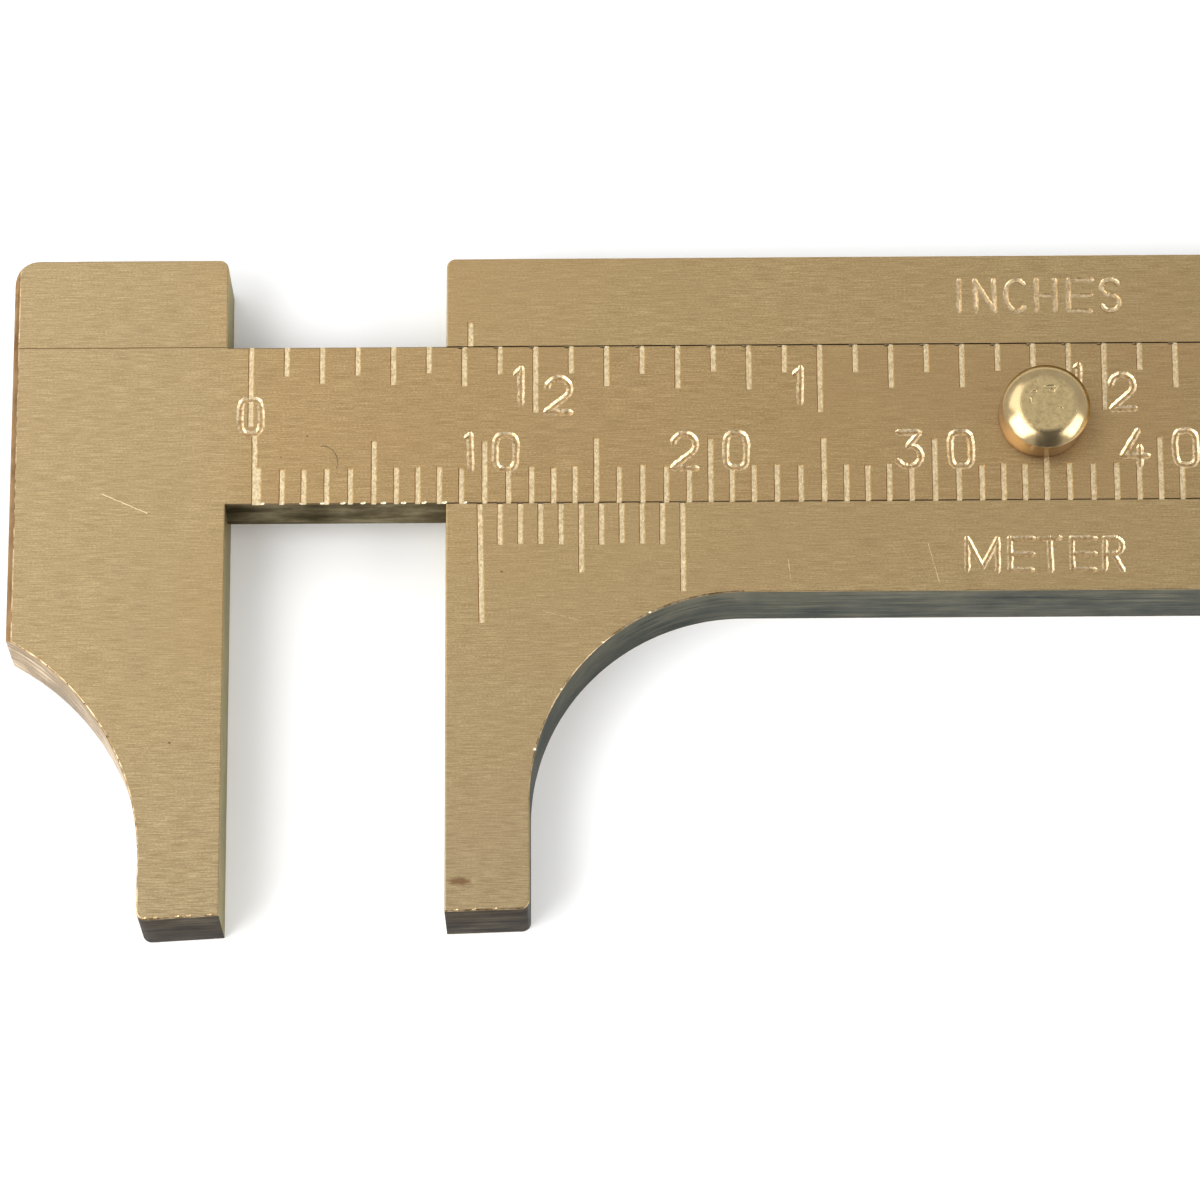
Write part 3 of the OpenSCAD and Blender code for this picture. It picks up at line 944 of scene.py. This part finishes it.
def zero_lines(engraver):
    """Zero lines of the millimetre scale and of the inch scale."""
    for start, end, top, layer in ZERO_LINES:
        engraver.line((ZERO_X + start, LOW_EDGE - RUN_OUT), (ZERO_X + end, top), layer=layer)
    x = ZERO_X - INCH_SHIFT
    engraver.line((x, HIGH_EDGE + RUN_OUT), (x, INCH_ZERO_LOW))


def millimetre_lines(engraver):
    """Millimetre lines along the slide's lower edge, every fifth one longer."""
    for i in range(1, round(TRAVEL) + 1):
        x = ZERO_X + i + creep(i)
        length = uneven(FIFTH_LINE if i % 5 == 0 else MM_LINE)
        engraver.line((x, LOW_EDGE - RUN_OUT), (x, LOW_EDGE + length))


def inch_length(i):
    """Length of line i of the inch scale, before it is made uneven."""
    if i % 8 == 0:
        return HALF_INCH_LINE
    if i % 2 == 0:
        return min(EIGHTH_LONGEST, EIGHTH_LINE + EIGHTH_GROWTH * i)
    return SIXTEENTH_LINE


def inch_lines(engraver):
    """Sixteenths of an inch along the slide's upper edge, notched where the slide lies in the body."""
    for i in range(1, int((TRAVEL + INCH_SHIFT) / SIXTEENTH) + 1):
        x = ZERO_X + i * SIXTEENTH - INCH_SHIFT
        length = uneven(inch_length(i))
        engraver.line((x, HIGH_EDGE + RUN_OUT), (x, HIGH_EDGE - length))
        if x > FACE_X:
            place = (x + INCH_NOTCH_ASIDE, HIGH_EDGE - NICK_INSET)
            engraver.scoop(*place, INCH_NOTCH, FIGURE_LAYER + 1, GROOVE)


def vernier_nicks(engraver):
    """Nicks in the slide's lower edge, as if the vernier was cut with the gauge closed."""
    for i in range(VERNIER_LINES + 1):
        x = ZERO_X + VERNIER_NICK_ASIDE + i * VERNIER_PITCH
        engraver.scoop(x, LOW_EDGE + NICK_INSET, VERNIER_NICK, FIGURE_LAYER)


def slide_figures(engraver):
    """Figures of the slide: zero, the tens of millimetres, and the inches and their halves."""
    engraver.figure("0", (ZERO_X - INCH_SHIFT, ZERO_FIGURE_Y), FIGURE_H)
    for ten in range(1, int(TRAVEL) // 10 + 1):
        x = ZERO_X + ten * 10
        texts = ("plain 1" if ten == 1 else str(ten), "0")
        for text, aside in zip(texts, FIRST_TEN_ASIDE if ten == 1 else TENS_ASIDE):
            engraver.figure(text, (x + aside, TENS_Y), FIGURE_H)
    for half in range(1, int(TRAVEL / MM_PER_INCH * 2) + 1):
        x = ZERO_X + half * MM_PER_INCH / 2 - INCH_SHIFT
        if half % 2:
            texts = ("plain 1" if half in HALF_ASIDE else "1", "2")
            for text, (aside, y), further in zip(texts, HALF_FIGURES, HALF_ASIDE.get(half, (0, 0))):
                engraver.figure(text, (x + aside + further, y), FIGURE_H)
        else:
            aside, y = INCH_FIGURE
            engraver.figure(str(half // 2), (x + aside, y), FIGURE_H)


def slide_piece():
    """Dovetail slide with the inch scale along its upper edge and the millimetre scale along its lower."""
    piece = prism_x("gauge_slide", dovetail(SLIDE_LO.z, FRONT_Z), SLIDE_LO.x, SLIDE_HI.x, FLANK, SIDE)
    for polygon in piece.data.polygons:
        if abs(polygon.normal.z) > LEVEL:
            polygon.material_index = BAR
    slot_half = PIN_R + PIN_GAP
    slot_start = PIN_CENTRE.x - slot_half - PIN_GAP - OPENING
    slot_end = PIN_CENTRE.x + TRAVEL + slot_half - OPENING
    cut(
        piece,
        block(
            "stop_slot",
            (slot_start, PIN_CENTRE.y - slot_half, SLIDE_LO.z - OVER),
            (slot_end, PIN_CENTRE.y + slot_half, SLIDE_LO.z + SLOT_DEPTH),
            GROOVE,
        ),
        rivet_hole("shank_hole", KNOB_CENTRE, SHANK_R, SLIDE_LO.z, FRONT_Z + OVER),
        *(slide_edge(side) for side in (-1, 1)),
        *outer_bevel("slide_bevel"),
    )
    engraver = Engraver()
    for mark in (zero_lines, millimetre_lines, inch_lines, vernier_nicks, slide_figures):
        mark(engraver)
    engraver.line(*JAW_SCRATCH, SCRATCH)
    hair, _ = curve(*HAIR_MARK)
    engraver.groove(hair, HAIRLINE)
    cut(piece, *engraver.cutters("slide_marks"))
    return piece


def jaw_piece():
    """Sliding jaw, soldered on the slide: the joint shows as a thin line along the slide's upper edge."""
    tip_x = JAW_HI.x - SLIDING_TIP_W
    curve_y = JAW_LO.y + SLIDING_TIP_STRAIGHT
    curve_centre = (tip_x - SLIDING_CURVE_R, curve_y)
    corner_angle = math.degrees(math.acos((JAW_LO.x - curve_centre[0]) / SLIDING_CURVE_R))
    tip_corner = (tip_x + CORNER_R, JAW_LO.y + CORNER_R)
    outline = [
        (GROUND, FACE, [(JAW_HI.x, JAW_LO.y + SLIDING_TIP_SLOPE)]),
        (SIDE, FACE, arc((JAW_HI.x - CORNER_R, JAW_HI.y - CORNER_R), CORNER_R, 0, 90, 10)),
        (SIDE, FACE, arc((JAW_LO.x + SHOULDER_R, JAW_HI.y - SHOULDER_R), SHOULDER_R, 90, 180, 16)),
        (CURVE, EDGE, arc(curve_centre, SLIDING_CURVE_R, corner_angle, 0, 48)),
        (TIP, EDGE, arc(tip_corner, CORNER_R, 180, 273, 8)),
    ]
    piece = plate("gauge_jaw", outline)
    groove = dovetail(SLIDE_LO.z, FRONT_Z + OVER)
    cut(
        piece,
        prism_x("jaw_groove", groove, JAW_LO.x - OVER, JAW_HI.x + OVER, GROOVE),
        *outer_bevel("jaw_bevel"),
    )
    engraver = Engraver()
    joint_y = HIGH_EDGE + JOINT_ASIDE
    engraver.line((JAW_LO.x - OVER, joint_y), (JAW_HI.x + OVER, joint_y), JOINT)
    engraver.line(*JAW_SCRATCH, SCRATCH)
    engraver.nick_tip(tip_x, JAW_LO.y, SLIDING_TIP_W, SLIDING_TIP_SLOPE, SLIDING_TIP_NICKS)
    engraver.nick_curve(curve_centre, SLIDING_CURVE_R, SLIDING_CURVE_NICKS, EDGE)
    cut(piece, *engraver.cutters("jaw_marks"))
    return piece


def knob_piece():
    """Turned knob with a flat top and a round shoulder, a little askew, and its riveted shank."""
    radius = (KNOB_HI.x - KNOB_LO.x) / 2
    inner, outer = (90 - slope for slope in KNOB_SLOPES)
    (inner_x, inner_y), (outer_x, outer_y) = direction(inner), direction(outer)
    turn = (radius - KNOB_EDGE_R) + KNOB_EDGE_R * outer_x
    round_r = (turn - KNOB_FLAT_R) / (outer_x - inner_x)
    drop = round_r * (inner_y - outer_y)
    edge_z = KNOB_HI.z - drop - KNOB_EDGE_R * outer_y
    edge = arc((radius - KNOB_EDGE_R, edge_z), KNOB_EDGE_R, 0, outer, 8)
    round_centre = (KNOB_FLAT_R - round_r * inner_x, KNOB_HI.z - round_r * inner_y)
    shoulder = arc(round_centre, round_r, outer, inner, 32)
    profile = [
        *rivet_profile(SHANK_R, SLIDE_LO.z, FRONT_Z)[:4],
        (radius - EDGE_BREAK, FRONT_Z),
        (radius, FRONT_Z + EDGE_BREAK),
        *edge,
        *shoulder[1:],
        (KNOB_FLAT_R - KNOB_FLAT_RING, KNOB_HI.z),
        (0, KNOB_HI.z),
    ]

    def askew(r, z):
        """How far the head stands aside at a height; the shank is straight."""
        head = z > FRONT_Z or r > SHANK_R + RIVET_FLARE
        return KNOB_SHIFT + KNOB_LEAN * (z - FRONT_Z) if head else Vector((0, 0))

    piece = lathe("gauge_knob", KNOB_CENTRE, profile, POLISH, offset=askew)
    for polygon in piece.data.polygons:
        if abs(polygon.normal.z) < UPRIGHT:
            polygon.material_index = WALL
    engraver = Engraver()
    middle = KNOB_CENTRE.xy + askew(0, KNOB_HI.z)
    for place, radii in KNOB_DENTS:
        engraver.scoop(*(middle + Vector(place)), radii, slot=POLISH, z=KNOB_HI.z)
    cut(piece, *engraver.cutters("knob_dents"))
    return piece


def grain_axes(normal):
    """Axes that U and V of the grain map follow on a face with this normal."""
    x, y, z = (abs(c) for c in normal)
    if z >= max(x, y):
        return 0, 1
    return (0, 2) if y > x else (1, 2)


def grain_map(mesh):
    """Texture map whose U runs along the brushing, for the direction of the highlights."""
    layer = mesh.uv_layers.new(name="grain")
    for polygon in mesh.polygons:
        u, v = grain_axes(polygon.normal)
        for i in polygon.loop_indices:
            p = mesh.vertices[mesh.loops[i].vertex_index].co
            layer.data[i].uv = (p[u] / MM, p[v] / MM)


def finish_piece(piece, body, node):
    """Brings a piece to metres, keeps only the slots that it uses, ties it to its body and hides the CAD node
    that it stands in for.
    """
    mesh = piece.data
    mesh.transform(Matrix.Scale(MM, 4))
    used = sorted({p.material_index for p in mesh.polygons})
    indices = [used.index(p.material_index) for p in mesh.polygons]
    smooth = [p.material_index not in (FACE, BAR) for p in mesh.polygons]
    mesh.materials.clear()
    for index in used:
        mesh.materials.append(PALETTE[index])
    mesh.polygons.foreach_set("material_index", indices)
    mesh.set_sharp_from_angle(angle=math.radians(CREASE))
    mesh.polygons.foreach_set("use_smooth", smooth)
    grain_map(mesh)
    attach(piece, body)
    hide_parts(node)


def dress(node, material):
    """Gives a CAD node that stays a procedural material."""
    mesh = frame["nodes"][node].data
    mesh.materials.clear()
    mesh.materials.append(material)


finish_piece(body_piece(), "frame", "body")
finish_piece(slide_piece(), "slide", "slide_bar")
finish_piece(jaw_piece(), "slide", "sliding_jaw")
finish_piece(knob_piece(), "slide", "thumb_knob")
dress("friction_spring", spring_bronze())
dress("stop_pin", PALETTE[TIP])

# Camera, worked out from the photograph's scales and edges
CAMERA_TARGET = Vector((5.32, -8.25, 4.0)) * MM
CAMERA_DISTANCE = 260 * MM
CAMERA_TILT = math.radians(-17.8)
CAMERA_YAW = math.radians(-0.278)
CAMERA_ROLL = math.radians(0.266)
FOCAL_PIXELS = 5892
FRAME_PIXELS = 1200
SENSOR = 36.0


def camera():
    """Camera that looks down on the face, tipped towards the jaws."""
    data = bpy.data.cameras.new("camera")
    data.sensor_width = SENSOR
    data.lens = SENSOR * FOCAL_PIXELS / FRAME_PIXELS
    data.clip_start = 0.01
    made = new_object("camera", data)
    roll = Matrix.Rotation(CAMERA_ROLL, 4, "Z")
    tilt = Matrix.Rotation(CAMERA_TILT, 4, "X")
    yaw = Matrix.Rotation(CAMERA_YAW, 4, "Y")
    back = Matrix.Translation((0, 0, CAMERA_DISTANCE))
    made.matrix_world = Matrix.Translation(CAMERA_TARGET) @ (roll @ tilt @ yaw).inverted() @ back
    bpy.context.scene.camera = made


def softbox(name, place, target, size, radiance):
    """Rectangular soft light that faces the target; radiance 1 shows as white."""
    data = bpy.data.lights.new(name, "AREA")
    data.shape = "RECTANGLE"
    data.size, data.size_y = size
    data.energy = radiance * math.pi * size[0] * size[1]
    made = new_object(name, data)
    made.location = place
    made.rotation_euler = (Vector(target) - Vector(place)).to_track_quat("-Z", "Y").to_euler()
    made.visible_camera = False


def set_piece(name, corners, shade):
    """Plain matt sheet of the studio, in a shade of grey."""
    mesh = bpy.data.meshes.new(name)
    mesh.from_pydata(corners, [], [(0, 1, 2, 3)])
    made = new_object(name, mesh)
    material, _, surface = shader(name, (1, 1, 1), Metallic=0.0, Roughness=0.7)
    surface.inputs["Base Color"].default_value = (shade, shade, shade, 1)
    surface.inputs["Specular IOR Level"].default_value = 0.2
    mesh.materials.append(material)
    return made


def studio():
    """Pale floor, even pale surroundings, three soft lights and a dark card."""
    side = 2.0
    # A hair below the gauge's back
    z = -0.00003
    corners = [(-side, -side, z), (side, -side, z), (side, side, z), (-side, side, z)]
    set_piece("floor", corners, 0.97)
    # Dark card behind the camera, which the knob mirrors
    left, right = -0.08, 0.19
    (near, low), (far, high) = (-0.34, 0.03), (-0.08, 0.43)
    corners = [(left, near, low), (right, near, low), (right, far, high), (left, far, high)]
    card = set_piece("dark_card", corners, 0.06)
    card.visible_camera = card.visible_diffuse = card.visible_shadow = False
    world = bpy.data.worlds.new("studio")
    world.use_nodes = True
    background = world.node_tree.nodes["Background"]
    background.inputs["Color"].default_value = (1, 1, 1, 1)
    background.inputs["Strength"].default_value = 0.63
    bpy.context.scene.world = world
    centre = (0.01, 0, 0)
    softbox("top_light", (-0.2, 0.16, 0.28), centre, (0.26, 0.3), 1.6)
    softbox("left_light", (-0.19, -0.1, 0.21), centre, (0.22, 0.26), 4.4)
    softbox("right_light", (0.3, -0.12, 0.2), centre, (0.24, 0.26), 3.8)


camera()
studio()
bpy.context.scene.view_settings.view_transform = "Standard"
